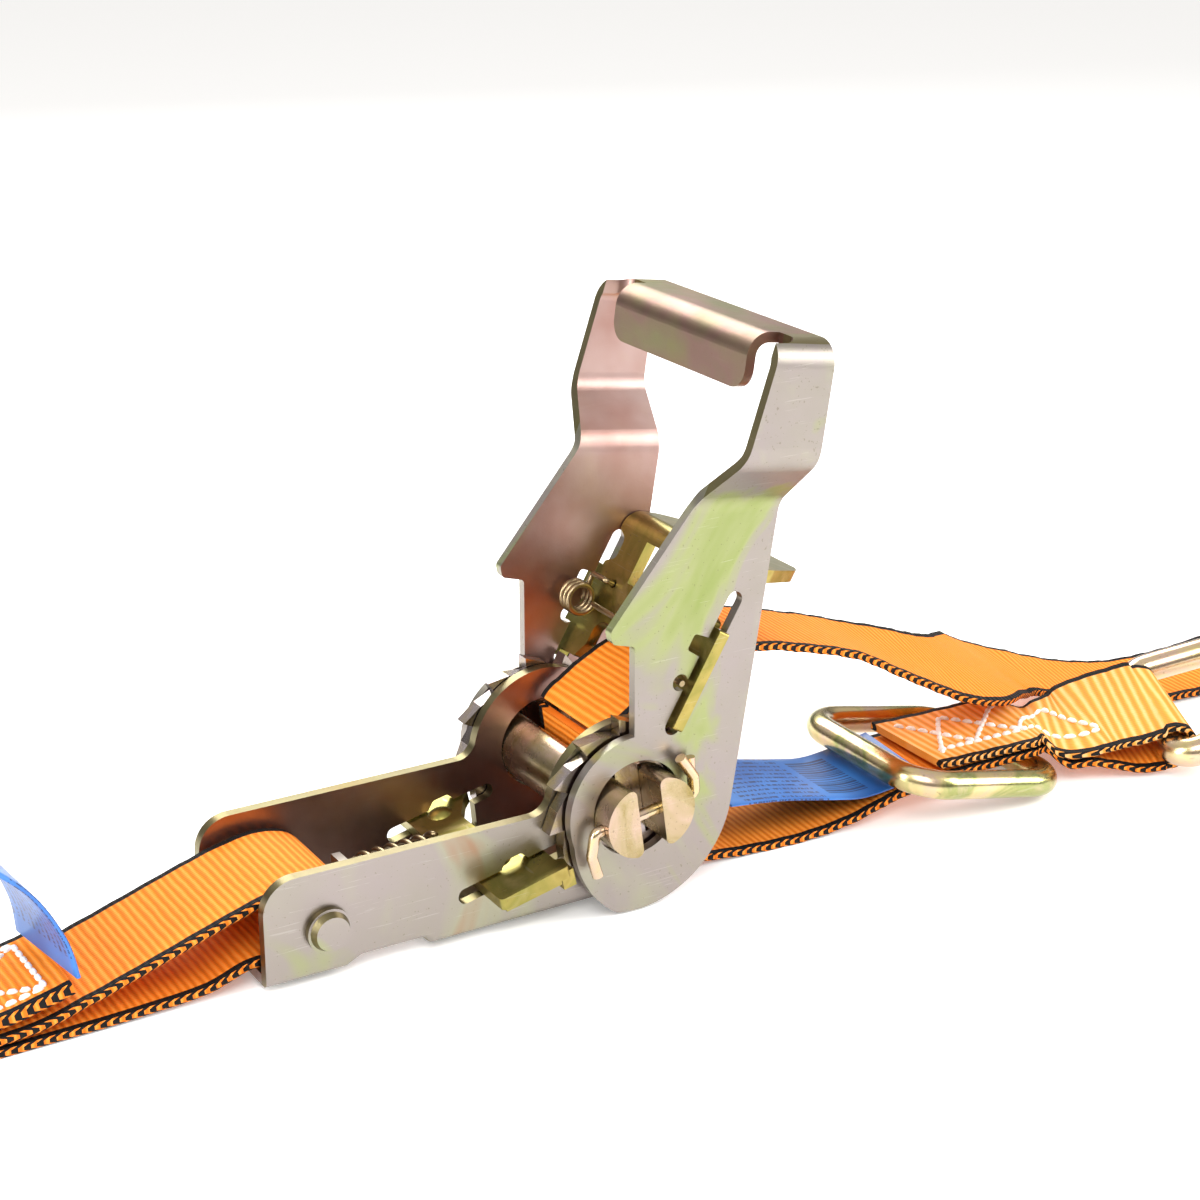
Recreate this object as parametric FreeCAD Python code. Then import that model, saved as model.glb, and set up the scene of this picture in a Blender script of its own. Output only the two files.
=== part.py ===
import FreeCAD, Part
import math
import os

# Ratchet tie down for 25 mm webbing. Millimetres, +Z up, +X from the fixed end
# towards the loose end, -Y the near side. Shapes are drawn with the spindle axis
# at x = 0 and the ground at z = 0, and are moved at the end so that the origin is
# the centre of the whole object's footprint.

V = FreeCAD.Vector
X_AXIS, Y_AXIS, Z_AXIS = V(1, 0, 0), V(0, 1, 0), V(0, 0, 1)
SIDES = {"near": -1, "far": 1}

# ---------------------------------------------------------------- driving sizes
WEB_WIDTH = 25.0
WEB_THICK = 1.6
AXIS_Z = 22.0                 # spindle axis above the ground
GAP = 0.3                     # between pieces that must not touch

# frame
FRAME_BACK = -74.8            # pin end of the frame
FRAME_BASE = 1.4              # underside of the frame above the ground
FRAME_SHEET = 2.2
FRAME_INNER = 14.0            # half the inner width
FRAME_OUTER = FRAME_INNER + FRAME_SHEET
FRAME_WALL = 20.8             # wall height
EAR_R = 16.0                  # round ear about the spindle
PIN_X, PIN_Z = FRAME_BACK + 12.4, FRAME_BASE + 9.1
PIN_R = 3.5

# spindle and wheels
SPINDLE_R = 9.6               # reach of the two bars
BAR_R = 7.3                   # their rounded backs
SPINDLE_GAP = 5.2             # slot for the webbing
SPINDLE_TILT = 8.0            # slot's lean from upright
SPINDLE_HALF = 27.4
SPLIT_PIN_Y = 24.9
RUN_GAP = 0.08                # radial running clearance
WHEEL_Y0, WHEEL_Y1 = 16.45, 19.45
WHEEL_TIP, WHEEL_ROOT, TEETH = 18.0, 14.7, 12
TOOTH_PHASE = 8.5             # direction of one tooth tip, degrees

# handle
HANDLE_LEAN = 8.0             # lean from upright at rest
HANDLE_SHEET = 2.0
BODY_Y = 22.1                 # outside of the plates at the spindle
GRIP_Y = 31.8                 # outside of the plates at the grip
FLARE_Z0, FLARE_Z1 = 60.0, 70.0
GRIP_Z = 92.5                 # top of the grip above the spindle
DISC_R, LOBE_R = 14.8, 21.7
LIP_HALF, LIP_LOW = 23.0, 81.4
LIP_X = 10.0                  # front face of the lip
RELIEF_W = 6.4

# handle pawl
HP_TILT = 22.5                # lean of its slot from the handle's length
HP_OFFSET = 1.0               # slot centre's distance from the spindle axis
HP_SLOT_W = 3.4
HP_THICK = 2.4
HP_S0, HP_S1 = 15.2, 45.4     # ends of the slot along its own line

# frame pawl
FP_TILT = 12.5                # rise of its slot towards the spindle
FP_THICK = 2.4
FP_SLOT_W = 3.2
FP_X, FP_Z = FRAME_BACK + 40.8, FRAME_BASE + 8.2   # left end of the slot's centre line
FP_SLOT_L = 21.0
FP_REAR, FP_FRONT = 3.3, 17.6
FP_EAR_FRONT = 19.0
FP_EAR_Y = 24.5

# fittings
RING_R, HOOK_R = 3.0, 3.25

os.makedirs("parts", exist_ok=True)
nodes = {}


# ---------------------------------------------------------------------- helpers
def export(name, shape):
    nodes[name] = shape


def box(x0, x1, y0, y1, z0, z1):
    return Part.makeBox(x1 - x0, y1 - y0, z1 - z0, V(x0, y0, z0))


def cylinder_y(radius, y0, y1, x=0.0, z=0.0):
    return Part.makeCylinder(radius, y1 - y0, V(x, y0, z), Y_AXIS)


def corner(before, here, after, radius):
    """Tangent points and middle of the arc that rounds one corner."""
    a = (before - here).normalize()
    b = (after - here).normalize()
    half = a.getAngle(b) / 2
    cut = radius / math.tan(half)
    centre = here + (a + b).normalize() * (radius / math.sin(half))
    middle = centre + (here - centre).normalize() * radius
    return here + a * cut, middle, here + b * cut


def rounded_path(points, radii, closed):
    """Edges through points, with each corner rounded by its own radius."""
    count = len(points)
    edges, start, first = [], None, None
    for i, here in enumerate(points):
        inner = closed or 0 < i < count - 1
        if inner and radii[i] > 0:
            enter, middle, leave = corner(points[i - 1], here, points[(i + 1) % count], radii[i])
        else:
            enter, middle, leave = here, None, here
        if start is not None and start.distanceToPoint(enter) > 1e-6:
            edges.append(Part.makeLine(start, enter))
        if middle is not None:
            edges.append(Part.Arc(enter, middle, leave).toShape())
        if first is None:
            first = enter
        start = leave
    if closed and start.distanceToPoint(first) > 1e-6:
        edges.append(Part.makeLine(start, first))
    return Part.Wire(edges)


def plate_xz(points, y0, y1):
    """A plate between y0 and y1 from an outline of (x, z, corner radius)."""
    corners = [V(p[0], y0, p[1]) for p in points]
    radii = [p[2] if len(p) > 2 else 0.0 for p in points]
    face = Part.Face(rounded_path(corners, radii, True))
    return face.extrude(V(0, y1 - y0, 0))


def plate_xy(points, z0, z1):
    """A plate between z0 and z1 from an outline of (x, y, corner radius)."""
    corners = [V(p[0], p[1], z0) for p in points]
    radii = [p[2] if len(p) > 2 else 0.0 for p in points]
    face = Part.Face(rounded_path(corners, radii, True))
    return face.extrude(V(0, 0, z1 - z0))


def bent_rod(points, bend, radius, closed=False):
    """Round rod along straight runs with rounded bends; a closed one starts on a straight run."""
    corners = [V(*p) for p in points]
    radii = [0.0] + [bend] * (len(points) - 1)
    path = rounded_path(corners, radii, closed)
    edge = path.Edges[0]
    start = edge.valueAt(edge.FirstParameter)
    heading = edge.tangentAt(edge.FirstParameter)
    profile = Part.Wire(Part.makeCircle(radius, start, heading))
    return path.makePipeShell([profile], True, True)


def webbing(stations, width=WEB_WIDTH, thick=WEB_THICK):
    """Flat strap through stations (x, y, z, roll), the last two optional roll in degrees."""
    places = [V(s[0], s[1], s[2]) for s in stations]
    rolls = [s[3] if len(s) > 3 else 0.0 for s in stations]
    sections = []
    for i, here in enumerate(places):
        ahead = places[min(i + 1, len(places) - 1)] - places[max(i - 1, 0)]
        ahead.normalize()
        side = Y_AXIS - ahead * Y_AXIS.dot(ahead)
        side.normalize()
        turn = FreeCAD.Rotation(ahead, rolls[i])
        side = turn.multVec(side)
        up = ahead.cross(side)
        loop = []
        for across, over in ((-1, -1), (1, -1), (1, 1), (-1, 1)):
            loop.append(here + side * (across * width / 2) + up * (over * thick / 2))
        sections.append(Part.makePolygon(loop + [loop[0]]))
    return Part.makeLoft(sections, True, True)


def arc_stations(cx, cz, radius, a0, a1, steps, y=0.0):
    """Stations on an arc about Y, angles in degrees from +X towards +Z."""
    out = []
    for i in range(steps + 1):
        a = math.radians(a0 + (a1 - a0) * i / steps)
        out.append((cx + radius * math.cos(a), y, cz + radius * math.sin(a)))
    return out


def at_spindle(shape, lean=0.0):
    """Turn a shape drawn about the origin by lean, and set it on the spindle axis."""
    out = shape.copy()
    out.rotate(V(0, 0, 0), Y_AXIS, lean)
    out.translate(V(0, 0, AXIS_Z))
    return out


# ------------------------------------------------------------------------ frame
def frame_channel():
    """Stamped channel: two walls, two stretches of base and a spring seat."""
    back, base = FRAME_BACK, FRAME_BASE
    top = base + FRAME_WALL
    outline = [
        (back, base, 0.8), (back, top, 6.5), (-9.0, top), (-9.0, AXIS_Z), (9.0, AXIS_Z),
        (12.5, base + 9.0, 6.0), (8.0, base, 5.0),
        (back + 33.4, base, 1.0), (back + 32.0, base + 1.5, 1.0),
        (back + 19.4, base + 1.5, 2.0), (back + 16.2, base, 1.0),
    ]
    walls = []
    for sign in SIDES.values():
        y0, y1 = sorted((sign * FRAME_INNER, sign * FRAME_OUTER))
        wall = plate_xz(outline, y0, y1).fuse(cylinder_y(EAR_R, y0, y1, 0, AXIS_Z)).removeSplitter()
        wall = round_ear_root(wall, top)
        walls.append(wall)
    rear = box(back, back + 15.6, -FRAME_OUTER, FRAME_OUTER, base, base + FRAME_SHEET)
    front = box(back + 34.0, 7.0, -FRAME_OUTER, FRAME_OUTER, base, base + FRAME_SHEET)
    tongue = box(back + 24.0, back + 35.0, -5.0, 5.0, base, base + FRAME_SHEET)
    seat = box(back + 23.0, back + 24.8, -5.0, 5.0, base, base + 12.4)
    stud = Part.makeCylinder(2.2, 3.0, V(back + 24.6, 0, base + 8.2), X_AXIS)
    frame = walls[0].fuse([walls[1], rear, front, tongue, seat, stud]).removeSplitter()
    frame = round_long_edges(frame, base)
    for sign in SIDES.values():
        y0, y1 = sorted((sign * (FRAME_INNER - 1), sign * (FRAME_OUTER + 1)))
        frame = frame.cut(cylinder_y(SPINDLE_R + RUN_GAP, y0, y1, 0, AXIS_Z))
        frame = frame.cut(cylinder_y(PIN_R + 0.05, y0, y1, PIN_X, PIN_Z))
        frame = frame.cut(frame_pawl_slot(y0, y1))
    return frame


def round_ear_root(wall, top):
    """Blend the wall's top edge into the round ear."""
    reach = math.sqrt(EAR_R ** 2 - (top - AXIS_Z) ** 2)
    for edge in wall.Edges:
        middle = edge.valueAt((edge.FirstParameter + edge.LastParameter) / 2)
        upright = abs(edge.tangentAt(edge.FirstParameter).y) > 0.99
        if upright and abs(middle.x + reach) < 0.5 and abs(middle.z - top) < 0.5:
            return wall.makeFillet(4.0, [edge])
    return wall


def round_long_edges(frame, base):
    """Round the two outside bends between base and walls."""
    picked = []
    for edge in frame.Edges:
        middle = edge.valueAt((edge.FirstParameter + edge.LastParameter) / 2)
        along = abs(edge.tangentAt(edge.FirstParameter).x) > 0.99
        outer = abs(abs(middle.y) - FRAME_OUTER) < 0.01 and abs(middle.z - base) < 0.01
        if along and outer and edge.Length > 8:
            picked.append(edge)
    return frame.makeFillet(1.4, picked) if picked else frame


def frame_pawl_slot(y0, y1):
    """Inclined slot with its assembly notches."""
    half = FP_SLOT_W / 2
    slot = plate_xz([(-half, -half, half - 0.01), (FP_SLOT_L + half, -half, half - 0.01),
                     (FP_SLOT_L + half, half, half - 0.01), (-half, half, half - 0.01)], y0, y1)
    upper = plate_xz([(8.2, 0), (8.2, half + 0.1, 0.6), (9.6, half + 1.6, 0.8),
                      (12.8, half + 1.6, 0.8), (14.0, half + 0.1, 0.6), (14.0, 0)], y0, y1)
    lower = plate_xz([(11.5, 0), (18.2, 0), (17.4, -7.0, 0.5), (11.5, -5.6, 0.5)], y0, y1)
    return in_frame_pawl_plane(slot.fuse([upper, lower]).removeSplitter())


def in_frame_pawl_plane(shape):
    out = shape.copy()
    out.rotate(V(0, 0, 0), Y_AXIS, -FP_TILT)
    out.translate(V(FP_X, 0, FP_Z))
    return out


def frame_pin():
    """Rivet across the pin end, with a collar and a flattened head on each side."""
    pin = cylinder_y(PIN_R, -FRAME_OUTER - 0.5, FRAME_OUTER + 0.5, PIN_X, PIN_Z)
    for sign in SIDES.values():
        y0, y1 = sorted((sign * (FRAME_OUTER + 0.05), sign * (FRAME_OUTER + 1.2)))
        pin = pin.fuse(cylinder_y(4.4, y0, y1, PIN_X, PIN_Z))
        head = Part.makeCone(3.9, 3.3, 1.4, V(PIN_X, sign * (FRAME_OUTER + 1.2), PIN_Z), Y_AXIS * sign)
        pin = pin.fuse(head)
    return pin.removeSplitter()


def frame_pawl():
    """Flat plate across both walls, with ears outside them and a tang for the spring."""
    half = FP_THICK / 2
    front, rear, ear, far = FP_FRONT, FP_REAR, FP_EAR_Y, FP_EAR_FRONT
    outline = [
        (rear, -ear, 1.0), (far - 0.6, -ear + 0.4, 1.0), (far, -20.9, 0.6), (front, -20.3, 0.3),
        (front, -FRAME_INNER - 1.0, 0.5), (15.6, -FRAME_INNER + 0.9, 2.0), (12.3, -8.0, 3.0),
        (12.3, 8.0, 3.0), (15.6, FRAME_INNER - 0.9, 2.0), (front, FRAME_INNER + 1.0, 0.5),
        (front, 20.3, 0.3), (far, 20.9, 0.6), (far - 0.6, ear - 0.4, 1.0), (rear, ear, 1.0),
        (rear, 5.6, 0.6), (rear + 1.6, 4.6, 0.6), (rear + 1.6, 2.4, 0.4), (-0.4, 1.9, 0.8),
        (-0.4, -1.9, 0.8), (rear + 1.6, -2.4, 0.4), (rear + 1.6, -4.6, 0.6), (rear, -5.6, 0.6),
    ]
    plate = plate_xy(outline, -half, half)
    for sign in SIDES.values():
        dome = Part.makeSphere(3.6, V(9.6, sign * 12.0, half - 2.6))
        plate = plate.fuse(dome.common(box(0, 20, -20, 20, 0, 4)))
        y0, y1 = sorted((sign * (ear - 2.6), sign * (ear - 0.8)))
        rib = box(rear + 1.0, front - 1.2, y0, y1, -half - 1.0, 0.0)
        y0, y1 = sorted((sign * 20.9, sign * (ear - 0.8)))
        toe = box(far - 2.4, far + 0.3, y0, y1, -half - 2.4, 0.0)
        plate = plate.fuse([rib, toe])
    return in_frame_pawl_plane(plate.removeSplitter())


def coil_spring(start, end, coil_r, wire_r, turns):
    """Compression spring between two points."""
    axis = end - start
    length = axis.Length - 2 * wire_r
    helix = Part.makeHelix(length / turns, length, coil_r)
    profile = Part.Wire(Part.makeCircle(wire_r, V(coil_r, 0, 0), Y_AXIS))
    coil = Part.Wire(helix).makePipeShell([profile], True, True)
    turn = FreeCAD.Rotation(Z_AXIS, axis)
    lift = axis.normalize() * wire_r
    coil.Placement = FreeCAD.Placement(start + lift, turn)
    return coil


def frame_pawl_spring():
    start = V(FRAME_BACK + 25.1, 0, FRAME_BASE + 8.2)
    end = V(FRAME_BACK + 43.6, 0, FRAME_BASE + 8.9)
    return coil_spring(start, end, 4.6, 0.6, 6)


# ---------------------------------------------------------------------- spindle
def half_moon(sign, y0, y1, grow=0.0):
    """D-section bar on one side of the slot."""
    side = SPINDLE_GAP / 2 - grow
    bar = cylinder_y(BAR_R + grow, y0, y1, sign * (SPINDLE_R - BAR_R))
    x0, x1 = sorted((sign * side, sign * 20))
    return bar.common(box(x0, x1, -40, 40, -20, 20))


def spindle_half(sign):
    """One half-moon bar; the webbing passes between the two."""
    bar = half_moon(sign, -SPINDLE_HALF, SPINDLE_HALF)
    side = SPINDLE_GAP / 2
    arrises = []
    for edge in bar.Edges:
        middle = edge.valueAt((edge.FirstParameter + edge.LastParameter) / 2)
        if edge.Length > 50 and abs(abs(middle.x) - side) < 0.01:
            arrises.append(edge)
    bar = bar.makeFillet(1.3, arrises)
    for y in SIDES.values():
        bar = bar.cut(Part.makeCylinder(1.25, 40, V(-20, y * SPLIT_PIN_Y, 0), X_AXIS))
    return at_spindle(bar, -SPINDLE_TILT)


def wheel_profile():
    """Saw teeth: a radial face and a sloping back."""
    step = 360.0 / TEETH
    points = []
    for i in range(TEETH):
        tip = math.radians(TOOTH_PHASE + i * step)
        lower = tip + math.radians(1.0)
        back = tip - math.radians(step * 0.5)
        points.append(V(WHEEL_TIP * math.cos(tip), 0, WHEEL_TIP * math.sin(tip)))
        points.append(V(WHEEL_ROOT * math.cos(lower), 0, WHEEL_ROOT * math.sin(lower)))
        mid = (WHEEL_TIP + WHEEL_ROOT) / 2 - 0.2
        a = back + math.radians(step)
        points.append(V(mid * math.cos(a), 0, mid * math.sin(a)))
    return Part.Face(Part.makePolygon(points + [points[0]]))


def ratchet_wheel(sign):
    """Toothed wheel keyed on the two half-moon bars."""
    wheel = wheel_profile().extrude(V(0, WHEEL_Y1 - WHEEL_Y0, 0))
    y0 = WHEEL_Y0 if sign > 0 else -WHEEL_Y1
    wheel.translate(V(0, y0, 0))
    wheel = at_spindle(wheel)
    for half in SIDES.values():
        key = half_moon(half, -30, 30, RUN_GAP)
        wheel = wheel.cut(at_spindle(key, -SPINDLE_TILT))
    return wheel


def split_pin(sign):
    """Cotter through both bars: eye curled down on one side, legs spread on the other."""
    y = sign * SPLIT_PIN_Y
    eye = bent_rod([(-11.8, y, -9.0), (-12.6, y, -4.6), (-11.2, y, 0), (11.2, y, 0),
                    (11.4, y, 3.6), (9.0, y, 8.5)], 1.3, 1.1)
    leg = bent_rod([(10.9, y, 0.9), (11.6, y - sign * 1.2, 2.8), (11.9, y - sign * 1.2, 7.2)], 1.0, 0.9)
    return at_spindle(eye.fuse(leg).removeSplitter(), -SPINDLE_TILT)


def slot_webbing():
    """The short run of webbing inside the spindle's slot, which turns with it."""
    reach = SPINDLE_R - 0.4
    strip = box(-WEB_THICK / 2, WEB_THICK / 2, -WEB_WIDTH / 2, WEB_WIDTH / 2, -reach, reach)
    return at_spindle(strip, -SPINDLE_TILT)


# ----------------------------------------------------------------------- handle
def polar(radius, degrees):
    """Point at an angle from the handle's length towards its front, which faces -X."""
    a = math.radians(degrees)
    return -radius * math.sin(a), radius * math.cos(a)


def handle_outline():
    """Side view: round disc, cam lobe, hooked notch, and the narrowing arm."""
    def arc(a, b, c):
        points = [V(p[0], 0, p[1]) for p in (a, b, c)]
        return Part.Arc(*points).toShape()

    disc_top, disc_mid, disc_end = (polar(DISC_R, a) for a in (11, 65, 118))
    ramp_mid, lobe_start = polar(17.6, 147), polar(LOBE_R, 176)
    lobe_mid, lobe_end = polar(LOBE_R, 222), polar(LOBE_R, 268)
    edges = [arc(disc_top, disc_mid, disc_end), arc(disc_end, ramp_mid, lobe_start),
             arc(lobe_start, lobe_mid, lobe_end)]
    rest = [lobe_end, (22.9, FLARE_Z0, 8.0), (23.4, FLARE_Z1, 8.0), (23.6, GRIP_Z + 6),
            (14.6, GRIP_Z + 6), (11.2, GRIP_Z - 1), (7.4, FLARE_Z1 + 1, 6.0), (4.0, FLARE_Z0, 8.0),
            (-11.2, 35.6, 1.4), (-10.4, 33.3, 1.2), (-5.4, 32.6, 1.0), disc_top]
    points = [V(p[0], 0, p[1]) for p in rest]
    radii = [p[2] if len(p) > 2 else 0.0 for p in rest]
    edges += rounded_path(points, radii, False).Edges
    return Part.Face(Part.Wire(Part.__sortEdges__(edges)))


def folded_strip():
    """The handle's sheet seen from the front: plates, flares and top, full depth."""
    def path(inset):
        body, grip, top = BODY_Y - inset, GRIP_Y - inset, GRIP_Z - inset
        shift = inset * 0.41
        half = [V(body, 0, -30), V(body, 0, FLARE_Z0 + shift), V(grip, 0, FLARE_Z1 + shift), V(grip, 0, top)]
        mirrored = [V(-p.x, 0, p.z) for p in reversed(half)]
        radii = [0, 5 + inset, 7 - inset, 5 - inset, 5 - inset, 7 - inset, 5 + inset, 0]
        return half + mirrored, radii

    outer, outer_r = path(0.0)
    inner, inner_r = path(HANDLE_SHEET)
    edges = rounded_path(outer, outer_r, False).Edges + rounded_path(inner, inner_r, False).Edges
    edges.append(Part.makeLine(outer[0], inner[0]))
    edges.append(Part.makeLine(outer[-1], inner[-1]))
    strip = Part.Face(Part.Wire(Part.__sortEdges__(edges))).extrude(V(0, 80, 0))
    strip.translate(V(0, -40, 0))
    strip.rotate(V(0, 0, 0), Z_AXIS, 90)
    return strip


def grip_lip():
    """Front lip folded down from the top of the grip."""
    sheet, bend = HANDLE_SHEET, 4.5
    x0, top = LIP_X, GRIP_Z
    outer = [V(x0 + 10, 0, top), V(x0, 0, top), V(x0, 0, LIP_LOW)]
    inner = [V(x0 + 10, 0, top - sheet), V(x0 + sheet, 0, top - sheet), V(x0 + sheet, 0, LIP_LOW)]
    edges = rounded_path(outer, [0, bend, 0], False).Edges
    edges += rounded_path(inner, [0, bend - sheet, 0], False).Edges
    edges.append(Part.makeLine(outer[0], inner[0]))
    edges.append(Part.makeLine(outer[-1], inner[-1]))
    lip = Part.Face(Part.Wire(Part.__sortEdges__(edges))).extrude(V(0, 2 * LIP_HALF, 0))
    lip.translate(V(0, -LIP_HALF, 0))
    low_corners = []
    for edge in lip.Edges:
        middle = edge.valueAt((edge.FirstParameter + edge.LastParameter) / 2)
        across = abs(edge.tangentAt(edge.FirstParameter).x) > 0.99
        if across and abs(middle.z - LIP_LOW) < 0.01:
            low_corners.append(edge)
    return lip.makeFillet(4.0, low_corners)


def in_handle_pawl_plane(shape):
    """From the pawl's own axes, z along its slot, to the upright handle's axes."""
    out = shape.copy()
    out.rotate(V(0, 0, 0), Y_AXIS, HP_TILT)
    a = math.radians(HP_TILT)
    out.translate(V(-HP_OFFSET * math.cos(a), 0, HP_OFFSET * math.sin(a)))
    return out


def handle_slot():
    """Pawl slot with its square and round side notches, on the front side."""
    half = HP_SLOT_W / 2
    y0, y1 = -40, 40
    slot = plate_xz([(-half, HP_S0, half - 0.01), (half, HP_S0, half - 0.01),
                     (half, HP_S1, half - 0.01), (-half, HP_S1, half - 0.01)], y0, y1)
    square = plate_xz([(0, 31.0), (0, 35.4), (-5.0, 34.8, 0.7), (-5.0, 31.4, 0.7)], y0, y1)
    neck = plate_xz([(0, 24.0), (0, 26.4), (-3.0, 26.2), (-3.0, 24.2)], y0, y1)
    eye = cylinder_y(1.7, y0, y1, -3.0, 25.2)
    return in_handle_pawl_plane(slot.fuse([square, neck, eye]).removeSplitter())


def handle():
    """One stamped sheet: two side plates joined by the grip."""
    prism = handle_outline().extrude(V(0, 80, 0))
    prism.translate(V(0, -40, 0))
    body = folded_strip().common(prism)
    opening = plate_xy([(5.0, -LIP_HALF - RELIEF_W), (5.0, LIP_HALF + RELIEF_W),
                        (16.5, LIP_HALF + RELIEF_W, 3.0), (16.5, LIP_HALF, 3.0),
                        (16.6, LIP_HALF - 0.4), (16.6, -LIP_HALF + 0.4),
                        (16.5, -LIP_HALF, 3.0), (16.5, -LIP_HALF - RELIEF_W, 3.0)],
                       GRIP_Z - 6.5, GRIP_Z + 1)
    body = body.cut(opening)
    body = body.fuse(grip_lip().common(box(0, 18.0, -40, 40, 0, 200))).removeSplitter()
    body = body.cut(handle_slot())
    body = body.cut(cylinder_y(SPINDLE_R + RUN_GAP, -40, 40))
    return at_spindle(body, HANDLE_LEAN)


def handle_pawl():
    """Trigger plate in both slots: two legs reach the wheels, the top is bent back to a grip."""
    back = HP_SLOT_W / 2 - 0.15
    front = back - HP_THICK
    side = BODY_Y - HANDLE_SHEET - GAP
    ear = BODY_Y + 1.4
    leg_in = 13.1
    bend_z = 47.6
    low = math.sqrt((WHEEL_TIP + 0.25) ** 2 - (HP_OFFSET + 1.0) ** 2) + 0.25
    outline = [
        (side, 46.5), (side, 45.6, 0.8), (16.8, 44.2, 1.6), (16.8, 39.6, 1.6), (side, 38.4, 0.8),
        (side, 37.4), (ear, 37.4, 0.6), (ear, HP_S0 + 1.4, 0.6), (20.3, HP_S0 + 1.4, 0.4),
        (20.3, low, 0.4), (15.2, low, 0.6), (leg_in, low + 3.5, 2.0), (leg_in, 27.5, 3.0),
    ]
    points = [V(0, p[0], p[1]) for p in outline] + [V(0, -p[0], p[1]) for p in reversed(outline)]
    radii = [p[2] if len(p) > 2 else 0.0 for p in outline]
    radii = radii + radii[::-1]
    plate = Part.Face(rounded_path(points, radii, True)).extrude(V(HP_THICK, 0, 0))
    plate.translate(V(front, 0, 0))
    tab_wide, tab_end, tab_rise = 15.0, 17.6, 4.0
    outer = [V(front, 0, 46.0), V(front, 0, bend_z + HP_THICK), V(tab_end, 0, bend_z + HP_THICK + tab_rise)]
    inner = [V(back, 0, 46.0), V(back, 0, bend_z), V(tab_end, 0, bend_z + tab_rise)]
    edges = rounded_path(outer, [0, 4.4, 0], False).Edges
    edges += rounded_path(inner, [0, 2.0, 0], False).Edges
    edges.append(Part.makeLine(outer[0], inner[0]))
    edges.append(Part.makeLine(outer[-1], inner[-1]))
    tab = Part.Face(Part.Wire(Part.__sortEdges__(edges))).extrude(V(0, 2 * side, 0))
    tab.translate(V(0, -side, 0))
    plan = plate_xy([(front - 1, -side, 0), (7.0, -side, 6.0), (tab_end, -tab_wide, 5.0),
                     (tab_end, tab_wide, 5.0), (7.0, side, 6.0), (front - 1, side, 0)], 40, 70)
    tab = tab.common(plan)
    window = box(-10, 3.0, -9.6, 9.6, 36.5, 45.6)
    peg_hole = Part.makeCylinder(0.9, 10, V(-5, 13.6, 35.0), X_AXIS)
    pawl = plate.fuse(tab).removeSplitter().cut(window).cut(peg_hole)
    return at_spindle(in_handle_pawl_plane(pawl), HANDLE_LEAN)


def handle_pawl_spring():
    """Wire torsion spring in front of the pawl: a coil at the far side and one at the near side."""
    wire = 0.6
    x = HP_SLOT_W / 2 - 0.15 - HP_THICK - 4.6
    coils = []
    for y in (16.5, -13.8):
        helix = Part.makeHelix(1.35, 4.05, 2.9)
        profile = Part.Wire(Part.makeCircle(wire, V(2.9, 0, 0), Y_AXIS))
        coil = Part.Wire(helix).makePipeShell([profile], True, True)
        coil.Placement = FreeCAD.Placement(V(x, y - 2.0, 29.5), FreeCAD.Rotation(Z_AXIS, Y_AXIS))
        coils.append(coil)
    bar = bent_rod([(x + 2.9, -15.7, 29.5), (x + 2.9, 14.6, 29.5)], 0.5, wire)
    arm = bent_rod([(x + 2.9, 18.5, 29.5), (x + 2.4, 18.5, 35.0), (x + 2.5, 13.6, 35.0), (x + 6.5, 13.6, 35.0)], 0.7, wire)
    end = bent_rod([(x + 2.9, -15.7, 29.5), (-3.0, -17.6, 25.2), (-3.0, -BODY_Y - 0.6, 25.2)], 0.7, wire)
    spring = bar.fuse(coils + [arm, end]).removeSplitter()
    return at_spindle(in_handle_pawl_plane(spring), HANDLE_LEAN)


# ---------------------------------------------------------------- straps, fixed end
def short_strap():
    """Webbing doubled round the frame pin; both layers run back to the hook's crossbar."""
    b = FRAME_BACK
    stations = [(SHORT_EYE_X, 0, 2.2), (b - 70, 0, 1.0), (b - 40, 0, 1.0), (b - 12, 0, 2.0)]
    stations += [(b - 2.0, 0, 4.7), (b + 5.0, 0, 4.9), (b + 13.0, 0, 4.9)]
    stations += arc_stations(b + 13.2, 11.2, 6.3, -70, 70, 5)
    stations += [(b + 10.0, 0, 18.1), (b + 2.0, 0, 16.8), (b - 8.0, 0, 13.8), (b - 20.0, 0, 9.9),
                 (b - 32.0, 0, 6.2), (b - 44.0, 0, 3.5), (b - 70.0, 0, 3.1), (SHORT_EYE_X + 2.0, 0, 5.6)]
    return webbing(stations)


SHORT_EYE_X = FRAME_BACK - 92.0
SHORT_BAR_X, SHORT_BAR_Z = FRAME_BACK - 100.0, 6.0


def short_eye():
    """Loop of the fixed webbing round the hook's crossbar."""
    r = HOOK_R + 1.7
    stations = arc_stations(SHORT_BAR_X, SHORT_BAR_Z, r, 50, 310, 9)
    return webbing(stations)


def short_flap():
    """Folded and stitched end lying on the two layers."""
    b = FRAME_BACK
    return webbing([(b - 34.0, 0, 9.2, 3), (b - 46.0, 0, 6.6, 2), (b - 58.0, 0, 5.7), (b - 70.0, 0, 5.6)],
                   thick=2.4)


def short_label():
    """Soft label sewn in the fold, standing up and leaning back."""
    b = FRAME_BACK
    return webbing([(b - 34.5, 0, 11.0, 8), (b - 36.0, 0, 19.0, 6), (b - 41.0, 0, 29.0, 4), (b - 50.0, 0, 38.0, 3)],
                   thick=0.8, width=24.0)


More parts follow.
